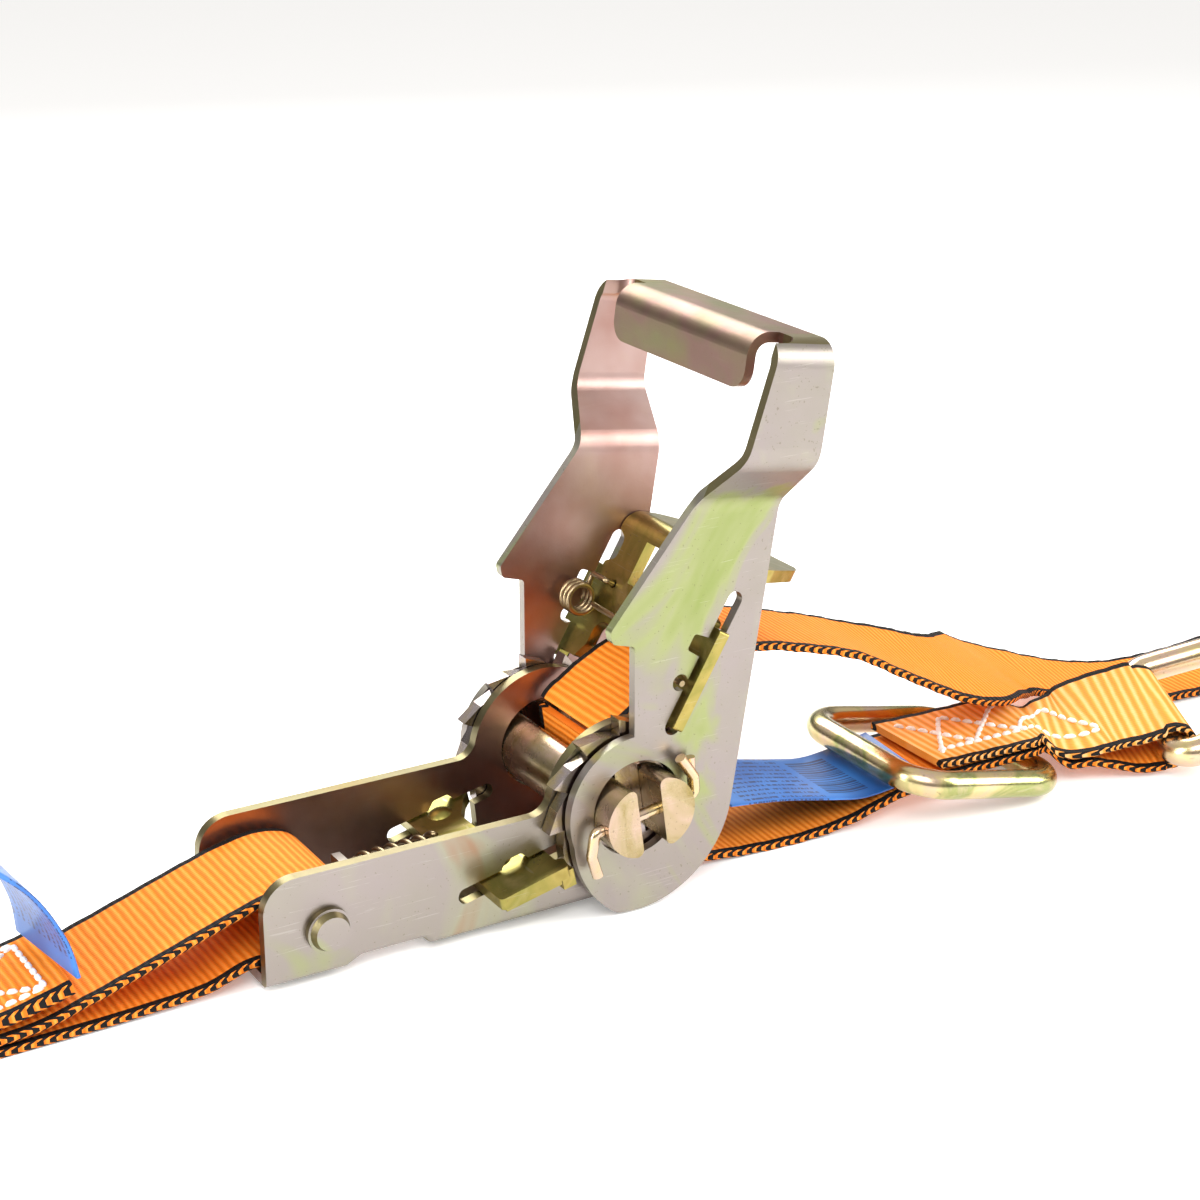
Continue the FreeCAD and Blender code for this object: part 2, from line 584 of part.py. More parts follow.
# ---------------------------------------------------------------- straps, loose end
LOAD_PATH = [
    (1.4, 0.0, 11.8), (2.6, 0.0, 8.5), (7.0, 0.0, 5.4), (14.0, -0.4, 3.7), (22.0, -0.9, 2.0),
    (34.0, -1.5, 1.0), (46.0, -2.2, 1.0), (57.0, -2.8, 2.4), (68.0, -3.2, 5.2), (80.0, -3.8, 7.0),
    (101.0, -4.8, 7.5), (108.0, -5.6, 7.5), (114.0, -8.0, 5.5, 3), (119.0, -10.2, 5.6, 7),
    (124.0, -12.3, 4.9, 9), (129.0, -14.2, 4.2, 10), (135.9, -16.6, 4.5, 11),
]
TOP_PATH = [
    (79.0, -4.0, 10.1), (90.0, -4.0, 9.7), (101.0, -4.8, 9.9), (108.0, -5.6, 9.95),
    (113.0, -8.0, 8.5, 3), (118.0, -10.8, 9.0, 5), (124.0, -12.4, 10.9, 9), (130.0, -14.9, 12.6, 11),
    (134.3, -16.9, 13.7, 11),
]
LONG_BAR = (136.5, -17.6, 9.3)      # middle of the loose-end hook's crossbar
LONG_YAW, LONG_ROLL = -20.0, 11.0   # the crossbar's far end lies further along, and higher
LONG_RISE = 20.0                    # the hook's arms slope up from the crossbar


def load_strap():
    return webbing(LOAD_PATH)


def load_top():
    """Stitched upper layer that comes back from the eye, its end folded under."""
    return webbing(TOP_PATH)


def long_eye():
    """Loop of webbing round the loose-end hook's crossbar."""
    loop = webbing(arc_stations(0, 0, HOOK_R + 1.7, 105, -95, 9))
    return at_bar(loop, LONG_BAR, LONG_YAW, LONG_ROLL)


def tail_strap():
    """Loose end leaving the top of the spindle and sagging to the roll."""
    stations = [(-0.9, 0, 32.5), (0.3, 0, 34.0), (3.3, 0, 36.0), (9.9, 0, 39.8), (18.0, 0, 42.8),
                (27.0, 0, 44.6), (36.0, 0, 44.3), (46.0, 0, 42.0, 1), (55.0, 0, 39.3, 1),
                (62.0, 0.2, 36.8, 3), (72.0, 0.5, 32.2, 8), (82.0, 1.0, 27.8, 13), (92.0, 1.8, 23.3, 16),
                (102.0, 5.4, 19.6, 16), (112.0, 12.8, 16.0, 13), (120.0, 18.2, 12.2, 9),
                (127.0, 19.4, 9.3, 7), (133.0, 18.4, 7.4, 6), (139.0, 17.2, 5.5, 5), (147.0, 15.4, 3.4, 4),
                (156.0, 14.0, 2.0, 2), (165.0, 13.4, 1.3), (180.0, 13.0, 1.1), (200.0, 15.0, 1.0),
                (222.0, ROLL_Y, 1.0), (ROLL_X, ROLL_Y, 1.0)]
    return webbing(stations)


ROLL_X, ROLL_Y, ROLL_R = 244.0, 18.0, 40.0


def tail_roll():
    """The rest of the loose end, rolled up tightly on itself."""
    z = ROLL_R + 2.1
    return Part.makeCylinder(ROLL_R, WEB_WIDTH, V(ROLL_X, ROLL_Y - WEB_WIDTH / 2, z), Y_AXIS)


def long_label():
    """Printed label sewn between the layers, reaching back towards the ratchet."""
    return webbing([(28.0, -2.0, 12.0), (40.0, -2.4, 10.5), (52.0, -2.8, 8.0), (60.0, -3.0, 6.6),
                    (68.0, -3.2, 7.2), (76.0, -3.8, 8.9)], thick=0.5, width=23.0)


# --------------------------------------------------------------------- fittings
HOOK_HALF, HOOK_NECK = 16.8, 11.0   # half widths at the crossbar and at the bent ends
HOOK_REACH, HOOK_BEND, HOOK_DROP = 44.0, 16.0, 18.4
SHORT_RISE = 22.0


def double_hook():
    """Wire hook with its crossbar on the Y axis: two arms along +X, their ends bent down and back."""
    arms = []
    for side in (1, -1):
        far = HOOK_REACH + HOOK_BEND
        arms.append([(0, side * HOOK_HALF, 0), (HOOK_REACH, side * HOOK_NECK, 0),
                     (far, side * HOOK_NECK, -3.0), (far, side * HOOK_NECK, -HOOK_DROP),
                     (HOOK_REACH - 4.0, side * HOOK_NECK, -HOOK_DROP)])
    return bent_rod(arms[0][::-1] + arms[1], 5.0, HOOK_R)


def at_bar(shape, bar, yaw=0.0, roll=0.0, rise=0.0):
    """From a crossbar's own axes to its place: raised, then rolled, then yawed."""
    turn = FreeCAD.Rotation(Z_AXIS, yaw) * FreeCAD.Rotation(X_AXIS, roll) * FreeCAD.Rotation(Y_AXIS, -rise)
    out = shape.copy()
    out.Placement = FreeCAD.Placement(V(*bar), turn).multiply(out.Placement)
    return out


def d_ring():
    """Closed ring of round rod, threaded on the loose-end webbing."""
    x0, x1 = 66.7, 105.0
    z0, z1 = 11.4, 3.2
    y0, y1 = -24.0, 16.0
    mid = (x0 + x1) / 2
    zm = (z0 + z1) / 2
    corners = [(mid, y0, zm), (x1, y0, z1), (x1, y1, z1), (x0, y1, z0), (x0, y0, z0)]
    return bent_rod(corners, 8.5, RING_R, closed=True)


# ------------------------------------------------------------------------ build
def build():
    export("frame_channel", frame_channel())
    export("frame_pin", frame_pin())
    export("frame_pawl", frame_pawl())
    export("frame_pawl_spring", frame_pawl_spring())
    export("spindle_half_front", spindle_half(-1))
    export("spindle_half_rear", spindle_half(1))
    for side, sign in SIDES.items():
        export("ratchet_wheel_" + side, ratchet_wheel(sign))
        export("split_pin_" + side, split_pin(sign))
    export("slot_webbing", slot_webbing())
    export("handle", handle())
    export("handle_pawl", handle_pawl())
    export("handle_pawl_spring", handle_pawl_spring())
    export("short_strap", short_strap())
    export("short_eye", short_eye())
    export("short_flap", short_flap())
    export("short_label", short_label())
    export("load_strap", load_strap())
    export("load_top", load_top())
    export("long_eye", long_eye())
    export("tail_strap", tail_strap())
    export("tail_roll", tail_roll())
    export("long_label", long_label())
    export("long_hook", at_bar(double_hook(), LONG_BAR, LONG_YAW, LONG_ROLL, LONG_RISE))
    export("short_hook", at_bar(double_hook(), (SHORT_BAR_X, 0, SHORT_BAR_Z), 180.0, 0.0, SHORT_RISE))
    export("d_ring", d_ring())


def write_all():
    """Centre the footprint on the origin, and write one file per node."""
    whole = Part.makeCompound(list(nodes.values())).BoundBox
    shift = V(-(whole.XMin + whole.XMax) / 2, -(whole.YMin + whole.YMax) / 2, -whole.ZMin)
    for name, shape in nodes.items():
        placed = shape.copy()
        placed.translate(shift)
        placed.exportStep("parts/" + name + ".step")
    print("shift", round(shift.x, 4), round(shift.y, 4), round(shift.z, 4))
    print("size", round(whole.XLength, 2), round(whole.YLength, 2), round(whole.ZLength, 2))


build()
write_all()
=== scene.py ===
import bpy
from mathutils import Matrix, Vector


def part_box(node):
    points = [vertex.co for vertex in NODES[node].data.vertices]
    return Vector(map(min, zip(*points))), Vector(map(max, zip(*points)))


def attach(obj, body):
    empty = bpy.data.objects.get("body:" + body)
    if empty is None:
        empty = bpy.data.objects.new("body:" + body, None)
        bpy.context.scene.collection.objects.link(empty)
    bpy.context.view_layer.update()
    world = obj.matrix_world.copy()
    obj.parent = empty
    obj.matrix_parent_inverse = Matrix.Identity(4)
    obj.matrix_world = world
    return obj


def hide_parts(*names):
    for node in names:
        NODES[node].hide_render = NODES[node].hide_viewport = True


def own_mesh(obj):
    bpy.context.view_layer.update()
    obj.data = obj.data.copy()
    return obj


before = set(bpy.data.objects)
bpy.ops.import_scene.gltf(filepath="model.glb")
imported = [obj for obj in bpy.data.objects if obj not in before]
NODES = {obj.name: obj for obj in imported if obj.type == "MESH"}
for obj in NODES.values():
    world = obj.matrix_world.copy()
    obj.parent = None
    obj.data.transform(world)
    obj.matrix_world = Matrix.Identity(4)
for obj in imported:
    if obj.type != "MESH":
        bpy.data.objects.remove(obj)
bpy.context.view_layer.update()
import math

import bpy
from mathutils import Matrix, Vector

MM = 0.001

# The design axes, in which the strap paths are written: x = 0 on the spindle axis,
# y = 0 in the middle of the frame, z = 0 on the ground, in millimetres.
low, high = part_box("frame_channel")
ORIGIN = Vector((low[0] + 74.8 * MM, (low[1] + high[1]) / 2, low[2] - 1.4 * MM))


def place(x, y, z):
    return ORIGIN + Vector((x, y, z)) * MM


# ------------------------------------------------------------------ node helpers
class Nodes:
    """Short names for building a material's node tree."""

    def __init__(self, name):
        self.mat = bpy.data.materials.new(name)
        self.mat.use_nodes = True
        self.tree = self.mat.node_tree
        self.bsdf = self.tree.nodes["Principled BSDF"]

    def add(self, kind, **settings):
        node = self.tree.nodes.new(kind)
        for key, value in settings.items():
            setattr(node, key, value)
        return node

    def link(self, a, b):
        self.tree.links.new(a, b)

    def math(self, op, a, b=None):
        node = self.add("ShaderNodeMath", operation=op)
        for socket, value in zip(node.inputs, (a, b)):
            if value is None:
                continue
            if isinstance(value, (int, float)):
                socket.default_value = value
            else:
                self.link(value, socket)
        return node.outputs[0]

    def near(self, value, middle, half):
        """1 where value is within half of middle, else 0."""
        off = self.math("ABSOLUTE", self.math("SUBTRACT", value, middle))
        return self.math("LESS_THAN", off, half)

    def xyz(self, vector):
        node = self.add("ShaderNodeSeparateXYZ")
        self.link(vector, node.inputs[0])
        return node.outputs["X"], node.outputs["Y"], node.outputs["Z"]

    def noise(self, vector, scale, detail=3.0, rough=0.55, distort=0.0):
        node = self.add("ShaderNodeTexNoise")
        node.inputs["Scale"].default_value = scale
        node.inputs["Detail"].default_value = detail
        node.inputs["Roughness"].default_value = rough
        node.inputs["Distortion"].default_value = distort
        self.link(vector, node.inputs["Vector"])
        return node.outputs["Fac"]

    def stretch(self, vector, scale):
        node = self.add("ShaderNodeMapping")
        node.inputs["Scale"].default_value = scale
        self.link(vector, node.inputs["Vector"])
        return node.outputs["Vector"]

    def ramp(self, value, stops):
        node = self.add("ShaderNodeValToRGB")
        marks = node.color_ramp.elements
        while len(marks) < len(stops):
            marks.new(0.5)
        for mark, (at, colour) in zip(marks, stops):
            mark.position = at
            mark.color = colour + (1.0,)
        self.link(value, node.inputs["Fac"])
        return node.outputs["Color"]

    def mix(self, factor, a, b):
        node = self.add("ShaderNodeMix", data_type="RGBA")
        for socket, value in ((node.inputs[0], factor), (node.inputs[6], a), (node.inputs[7], b)):
            if isinstance(value, (int, float)):
                socket.default_value = value
            elif isinstance(value, tuple):
                socket.default_value = value + (1.0,)
            else:
                self.link(value, socket)
        return node.outputs[2]

    def bump(self, height, strength, distance, under=None):
        node = self.add("ShaderNodeBump")
        node.inputs["Strength"].default_value = strength
        node.inputs["Distance"].default_value = distance
        self.link(height, node.inputs["Height"])
        if under is not None:
            self.link(under, node.inputs["Normal"])
        return node.outputs["Normal"]


# ---------------------------------------------------------------------- materials
GRIP_FROM, GRIP_HALF = 95.0, 24.5       # the grip lies above this height and within this width


def plated(name, tints, rough, patch, inner_shade=0.0, edges_from=None, grip=False):
    """Zinc-plated steel whose passivation drifts between tints, with scratches and specks.

    inner is how strongly the faces turned to the middle plane take a painted shade of
    pink-brown, edges_from the distance from that plane, in mm, beyond which the sheet's own
    edges darken, and grip adds a dull pink and olive tint to the folded grip, partly its
    plating's colour and partly painted shade that dulls the bright bends.
    """
    n = Nodes(name)
    here = n.add("ShaderNodeTexCoord").outputs["Object"]
    drift = n.noise(here, patch, 4.0, 0.6, 1.2)
    count = len(tints)
    colour = n.ramp(drift, [(0.30 + 0.42 * i / (count - 1), t) for i, t in enumerate(tints)])
    cloud = n.noise(here, patch * 3.2, 5.0, 0.6)
    colour = n.mix(n.math("MULTIPLY", cloud, 0.35), colour, tints[0])
    specks = n.math("GREATER_THAN", n.noise(here, 1500.0, 2.0, 0.5), 0.69)
    colour = n.mix(n.math("MULTIPLY", specks, 0.45), colour, (0.16, 0.13, 0.08))
    streaks = n.noise(n.stretch(here, (90.0, 90.0, 2600.0)), 1.0, 3.0, 0.6)
    wear = n.math("GREATER_THAN", streaks, 0.66)
    colour = n.mix(n.math("MULTIPLY", wear, 0.14), colour, (0.70, 0.67, 0.60))
    sideways = n.xyz(n.add("ShaderNodeTexCoord").outputs["Normal"])[1]
    _, y, z = n.xyz(here)
    from_middle = n.math("SUBTRACT", y, ORIGIN.y)
    if edges_from:
        # the sheet's own edges, on the side plates, are olive and darker
        flat = n.math("LESS_THAN", n.math("ABSOLUTE", sideways), 0.55)
        outside = n.math("GREATER_THAN", n.math("ABSOLUTE", from_middle), edges_from * MM)
        edge = n.math("MULTIPLY", n.math("MULTIPLY", flat, outside), 0.8)
        colour = n.mix(edge, colour, (0.17, 0.14, 0.045))
    if grip:
        # the folded grip is tinted dull pink and olive, partly its plating's colour and partly painted
        # shade that dulls the bright bends
        high = n.math("GREATER_THAN", n.math("SUBTRACT", z, ORIGIN.z), GRIP_FROM * MM)
        within = n.math("LESS_THAN", n.math("ABSOLUTE", from_middle), GRIP_HALF * MM)
        grip_tint_and_shade = n.ramp(n.noise(n.stretch(here, (1.0, 0.6, 1.0)), 55.0, 3.0),
                       [(0.35, (0.16, 0.15, 0.05)), (0.52, (0.24, 0.13, 0.10)),
                       (0.70, (0.22, 0.20, 0.08))])
        colour = n.mix(n.math("MULTIPLY", n.math("MULTIPLY", high, within), 0.85), colour, grip_tint_and_shade)
    if inner_shade:
        # painted shade: faces turned towards the middle plane, in between the plates, are drawn a
        # duller pink-brown
        inward = n.math("LESS_THAN", n.math("MULTIPLY", sideways, from_middle), -0.006)
        painted_inner_shade = n.ramp(n.noise(here, 45.0, 3.0), [(0.35, (0.30, 0.13, 0.10)),
        (0.65, (0.44, 0.30, 0.27))])
        colour = n.mix(n.math("MULTIPLY", inward, inner_shade), colour, painted_inner_shade)
    n.link(colour, n.bsdf.inputs["Base Color"])
    n.bsdf.inputs["Metallic"].default_value = 1.0
    spread = n.add("ShaderNodeMapRange")
    spread.inputs["To Min"].default_value = rough[0]
    spread.inputs["To Max"].default_value = rough[1]
    n.link(n.noise(here, 160.0, 4.0, 0.6), spread.inputs["Value"])
    n.link(spread.outputs["Result"], n.bsdf.inputs["Roughness"])
    grain = n.bump(n.noise(here, 900.0, 3.0, 0.6), 0.10, 0.0002)
    dents = n.bump(n.noise(here, 110.0, 2.0, 0.5), 0.12, 0.0006, grain)
    n.link(dents, n.bsdf.inputs["Normal"])
    return n.mat


def webbing_material(name, body, rib):
    """Ribbed webbing with ribs rib mm apart. UV x is the distance along it, y across, in mm."""
    n = Nodes(name)
    uv = n.add("ShaderNodeTexCoord").outputs["UV"]
    along, across, _ = n.xyz(uv)
    side = n.math("ABSOLUTE", across)
    drift = n.noise(n.stretch(uv, (0.6, 0.2, 1.0)), 1.0, 2.0)
    wobble = n.math("MULTIPLY", n.math("SUBTRACT", drift, 0.5), 0.5)
    ribs = n.math("SINE", n.math("MULTIPLY", n.math("ADD", along, wobble), 2 * math.pi / rib))
    threads = n.math("SINE", n.math("MULTIPLY", across, 2 * math.pi / 0.62))
    lift = n.math("ADD", n.math("MULTIPLY", ribs, 0.5), 0.5)
    fibre = n.noise(n.stretch(uv, (1.4, 9.0, 1.0)), 1.0, 4.0, 0.65)
    # painted highlight and painted shade: rib crests are drawn lighter and yellower and the hollows
    # darker, mixed with fibre noise; the dark end also darkens broad random patches below
    rib_shade_and_patch_tone = tuple(c * 0.62 for c in body)
    painted_rib_highlight = tuple(min(1.0, c * gain) for c, gain in zip(body, (1.05, 1.75, 6.0)))
    rib_shading_and_fibre = n.math("ADD", n.math("MULTIPLY", lift, 0.55), n.math("MULTIPLY", fibre, 0.45))
    colour = n.ramp(rib_shading_and_fibre, [(0.12, rib_shade_and_patch_tone), (0.48, body), (0.92, painted_rib_highlight)])
    broad = n.noise(n.stretch(uv, (0.05, 0.12, 1.0)), 1.0, 2.0)
    colour = n.mix(n.math("MULTIPLY", broad, 0.20), colour, rib_shade_and_patch_tone)
    # black cord just inside each edge, and the edge's own black and orange chevrons
    cord = n.math("MULTIPLY", n.math("GREATER_THAN", side, 10.9), n.math("LESS_THAN", side, 13.5))
    slant = n.math("ADD", along, n.math("MULTIPLY", side, 1.3))
    twist = n.math("GREATER_THAN", n.math("SINE", n.math("MULTIPLY", slant, 2 * math.pi / 2.3)), 0.15)
    edge = n.math("GREATER_THAN", side, 12.35)
    shown = n.math("MULTIPLY", edge, twist)
    black = n.math("MULTIPLY", cord, n.math("SUBTRACT", 1.0, shown))
    colour = n.mix(black, colour, (0.003, 0.003, 0.003))
    n.link(colour, n.bsdf.inputs["Base Color"])
    n.bsdf.inputs["Roughness"].default_value = 0.72
    n.bsdf.inputs["Specular IOR Level"].default_value = 0.22
    weave = n.math("ADD", n.math("MULTIPLY", ribs, 0.6), n.math("MULTIPLY", threads, 0.22))
    n.link(n.bump(weave, 0.55, 0.00022), n.bsdf.inputs["Normal"])
    return n.mat


def label_material():
    """Blue satin label with generic rows of dark bars; nothing on it can be read."""
    n = Nodes("label_blue")
    uv = n.add("ShaderNodeTexCoord").outputs["UV"]
    along, across, _ = n.xyz(uv)
    base = n.ramp(n.noise(n.stretch(uv, (0.05, 0.05, 1.0)), 1.0, 2.0),
                  [(0.3, (0.012, 0.075, 0.32)), (0.7, (0.045, 0.20, 0.58))])
    # rows of short strokes
    row = n.math("GREATER_THAN", n.math("SINE", n.math("MULTIPLY", across, 2 * math.pi / 2.1)), 0.25)
    marks = n.math("GREATER_THAN", n.noise(n.stretch(uv, (1.9, 0.48, 1.0)), 1.0, 1.0), 0.47)
    text = n.math("MULTIPLY", n.math("MULTIPLY", row, marks), n.near(along, 14.0, 10.0))
    # a block of plain bars
    bars = n.math("GREATER_THAN", n.noise(n.stretch(uv, (0.0, 2.6, 1.0)), 1.0, 0.0), 0.5)
    inside = n.math("MULTIPLY", n.near(along, 31.0, 5.0), n.near(across, 0.0, 8.5))
    ink = n.math("MAXIMUM", text, n.math("MULTIPLY", bars, inside))
    n.link(n.mix(n.math("MULTIPLY", ink, 0.85), base, (0.012, 0.02, 0.07)), n.bsdf.inputs["Base Color"])
    n.bsdf.inputs["Roughness"].default_value = 0.38
    n.link(n.bump(n.noise(uv, 2.2, 2.0), 0.08, 0.0001), n.bsdf.inputs["Normal"])
    return n.mat


def thread_material():
    n = Nodes("white_thread")
    here = n.add("ShaderNodeTexCoord").outputs["Object"]
    colour = n.ramp(n.noise(here, 1800.0, 3.0), [(0.3, (0.72, 0.66, 0.60)), (0.7, (0.95, 0.93, 0.90))])
    n.link(colour, n.bsdf.inputs["Base Color"])
    n.bsdf.inputs["Roughness"].default_value = 0.55
    n.link(n.bump(n.noise(here, 3000.0, 2.0), 0.3, 0.0001), n.bsdf.inputs["Normal"])
    return n.mat


PINK, LILAC, STRAW = (0.36, 0.20, 0.155), (0.33, 0.275, 0.285), (0.36, 0.275, 0.11)
GREEN, PALE, OLIVE = (0.25, 0.30, 0.095), (0.36, 0.33, 0.275), (0.25, 0.19, 0.045)
LIME = (0.33, 0.35, 0.17)
GOLD, ROSE = (0.62, 0.50, 0.25), (0.58, 0.42, 0.34)
ZINC = plated("zinc_plated_sheet", [GREEN, LIME, LILAC, LILAC, PALE, PINK, STRAW],
              (0.26, 0.42), 17.0, inner_shade=0.75, edges_from=13.9)
GRIP_ZINC = plated("zinc_plated_handle", [GREEN, LIME, LILAC, LILAC, PALE, LIME, GREEN],
                   (0.32, 0.48), 17.0, inner_shade=0.85, edges_from=23.4, grip=True)
ROD = plated("zinc_plated_rod", [GOLD, ROSE, GOLD, GREEN, ROSE], (0.16, 0.32), 45.0)
OLIVE_ZINC = plated("olive_zinc", [OLIVE, (0.42, 0.33, 0.10), (0.26, 0.24, 0.06), (0.48, 0.40, 0.17)],
                    (0.22, 0.38), 60.0)
BAR_ZINC = plated("spindle_zinc", [OLIVE, (0.46, 0.36, 0.22), ROSE, (0.50, 0.43, 0.28)],
                  (0.20, 0.36), 50.0)
WHEEL = plated("zinc_wheel", [PALE, LILAC, STRAW, PALE], (0.16, 0.30), 60.0)
WIRE = plated("spring_wire", [(0.26, 0.19, 0.10), (0.38, 0.30, 0.18)], (0.24, 0.38), 120.0)
ORANGE = webbing_material("orange_webbing", (0.90, 0.215, 0.010), 1.45)
# a paler, lit copy of the same orange webbing for the upper layer round the long hook: painted light
PAINTED_LIT_ORANGE = webbing_material("painted_lit_orange_webbing", (0.92, 0.33, 0.045), 2.1)
LABEL = label_material()
THREAD = thread_material()

FINISH = {
    "frame_channel": ZINC, "handle": GRIP_ZINC, "frame_pin": ZINC,
    "ratchet_wheel_near": WHEEL, "ratchet_wheel_far": WHEEL,
    "frame_pawl": OLIVE_ZINC, "handle_pawl": OLIVE_ZINC,
    "spindle_half_front": BAR_ZINC, "spindle_half_rear": BAR_ZINC,
    "split_pin_near": ROD, "split_pin_far": ROD,
    "handle_pawl_spring": WIRE,
    "long_hook": ROD, "short_hook": ROD, "d_ring": ROD,
}
# width of the worn edge on each sheet part, in millimetres
BEVEL = {"frame_channel": 0.30, "handle": 0.30, "frame_pawl": 0.3, "handle_pawl": 0.3,
         "frame_pin": 0.25, "ratchet_wheel_near": 0.25, "ratchet_wheel_far": 0.25}
for name, material in FINISH.items():
    node = NODES[name]
    node.data.materials.clear()
    node.data.materials.append(material)
    for face in node.data.polygons:
        face.use_smooth = True
    node.data.set_sharp_from_angle(angle=math.radians(32))
    if name in BEVEL:
        bevel = node.modifiers.new("worn_edges", "BEVEL")
        bevel.width = BEVEL[name] * MM
        bevel.segments = 2
        bevel.limit_method = "ANGLE"
        bevel.angle_limit = math.radians(40)
        bevel.harden_normals = True


# ------------------------------------------------------------------------- meshes
def new_piece(name, verts, faces, material):
    """A smooth-shaded mesh object in the scene."""
    mesh = bpy.data.meshes.new(name)
    mesh.from_pydata(verts, [], faces)
    mesh.update()
    for face in mesh.polygons:
        face.use_smooth = True
    mesh.materials.append(material)
    obj = bpy.data.objects.new(name, mesh)
    bpy.context.scene.collection.objects.link(obj)
    return obj


def tube_faces(base, rings, around, flip=False):
    """Faces of a closed tube whose vertices are rings of around points, from base on."""
    faces = []
    for i in range(rings - 1):
        a = base + i * around
        for k in range(around):
            m = (k + 1) % around
            quad = (a + k, a + around + k, a + around + m, a + m)
            faces.append(quad if flip else (quad[0], quad[3], quad[2], quad[1]))
    start = tuple(base + k for k in range(around))
    end = tuple(base + (rings - 1) * around + k for k in range(around))
    if flip:
        faces += [start, tuple(reversed(end))]
    else:
        faces += [tuple(reversed(start)), end]
    return faces


# ------------------------------------------------------------------------- spring
def coil(name, start, end, coil_r, wire_r, turns, around=12, per_turn=28):
    """A closed wire helix between two points in the design axes."""
    start, end = Vector(start), Vector(end)
    axis = (end - start).normalized()
    across = axis.cross(Vector((0, 1, 0))).normalized()
    over = axis.cross(across)
    run = (end - start).length - 2 * wire_r
    verts = []
    count = turns * per_turn
    for i in range(count + 1):
        a = 2 * math.pi * i / per_turn
        out = across * math.cos(a) + over * math.sin(a)
        middle = start + axis * (wire_r + run * i / count) + out * coil_r
        for k in range(around):
            b = 2 * math.pi * k / around
            verts.append(place(*(middle + (out * math.cos(b) + axis * math.sin(b)) * wire_r)))
    return new_piece(name, verts, tube_faces(0, count + 1, around, flip=True), WIRE)


# the pawl pushes this spring 3 mm shorter against its seat
SPRING_SEAT, SPRING_TIP = (-49.7, 0.0, 9.6), (-31.2, 0.0, 10.3)
pawl_coil = coil("frame_pawl_coil", SPRING_SEAT, SPRING_TIP, 4.6, 0.6, 6)
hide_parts("frame_pawl_spring")
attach(pawl_coil, "frame")
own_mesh(pawl_coil)


# ------------------------------------------------------------------------- straps
def smooth_path(stations, steps):
    """Catmull-Rom through (x, y, z, roll) stations."""
    points = [tuple(s) + (0.0,) * (4 - len(s)) for s in stations]
    out = []
    for i in range(len(points) - 1):
        p0, p1 = points[max(i - 1, 0)], points[i]
        p2, p3 = points[i + 1], points[min(i + 2, len(points) - 1)]
        for k in range(steps):
            t = k / steps
            out.append(tuple(0.5 * (2 * b + (c - a) * t + (2 * a - 5 * b + 4 * c - d) * t * t
                                    + (3 * b - a - 3 * c + d) * t ** 3) for a, b, c, d in zip(p0,
                                    p1, p2, p3)))
    out.append(points[-1])
    return out


class Strap:
    """A flat strap as one closed mesh through (x, y, z, roll) stations.

    wavy is the height of the edges' ripple. From station loop_from on, the strap stays
    parallel to crossbar. at(s, v, up) gives a point on it for stitching.
    """

    def __init__(self, name, stations, width=25.0, thick=1.6, steps=8, material=ORANGE, across=14,
                 wavy=0.0, loop_from=None, crossbar=None):
        self.path = smooth_path(stations, steps)
        self.frames, self.length = [], [0.0]
        for i, p in enumerate(self.path):
            here = Vector(p[:3])
            ahead = (Vector(self.path[min(i + 1, len(self.path) - 1)][:3])
                     - Vector(self.path[max(i - 1, 0)][:3])).normalized()
            side = (Vector((0, 1, 0)) - ahead * ahead.y).normalized()
            side = Matrix.Rotation(math.radians(p[3]), 3, ahead) @ side
            if loop_from is not None and i >= loop_from * steps:
                side = (crossbar - ahead * ahead.dot(crossbar)).normalized()
            self.frames.append((here, side, ahead.cross(side)))
            if i:
                self.length.append(self.length[-1] + (here - self.frames[i - 1][0]).length)
        self.thick, self.width = thick, width
        # the section's outline, as (across, share of the thickness), with narrow rounded edges
        half = width / 2
        ring = [((j / across * 2 - 1) * (half - 0.25), 0.5) for j in range(across + 1)]
        loop = ring + [(half, 0.22), (half, -0.22)] + [(v, -0.5) for v, _ in reversed(ring)]
        loop += [(-half, -0.22), (-half, 0.22)]
        verts, uvs = [], []
        for i, (here, side, up) in enumerate(self.frames):
            s = self.length[i]
            ripple = wavy * (math.sin(s * 0.9) + 0.6 * math.sin(s * 2.17 + 1.0))
            for v, h in loop:
                lift = ripple * (abs(v) / half) ** 3
                verts.append(place(*(here + side * v + up * (h * thick + lift))))
                uvs.append((s, v + (0.8 if v > 0 else -0.8) * (abs(h) < 0.3)))
        faces = tube_faces(0, len(self.frames), len(loop))
        self.obj = new_piece(name, verts, faces, material)
        mesh = self.obj.data
        layer = mesh.uv_layers.new(name="UVMap")
        for corner in mesh.loops:
            layer.data[corner.index].uv = uvs[corner.vertex_index]
        mesh.set_sharp_from_angle(angle=math.radians(50))

    def at(self, s, v, up):
        i = 1
        while i < len(self.length) - 1 and self.length[i] < s:
            i += 1
        a, b = self.length[i - 1], self.length[i]
        t = min(max((s - a) / (b - a), 0.0), 1.0)
        f, g = self.frames[i - 1], self.frames[i]
        here, side, normal = (f[k].lerp(g[k], t) for k in range(3))
        # the sign of up picks the face, so a thread's low points come out underneath
        face = self.thick / 2 if up > 0 else -self.thick / 2
        return place(*(here + side * v + normal * (face + up)))


def arc(cx, cz, radius, a0, a1, steps):
    """Stations on an arc about Y, angles in degrees from +X towards +Z."""
    out = []
    for i in range(steps + 1):
        a = math.radians(a0 + (a1 - a0) * i / steps)
        out.append((cx + radius * math.cos(a), 0.0, cz + radius * math.sin(a)))
    return out


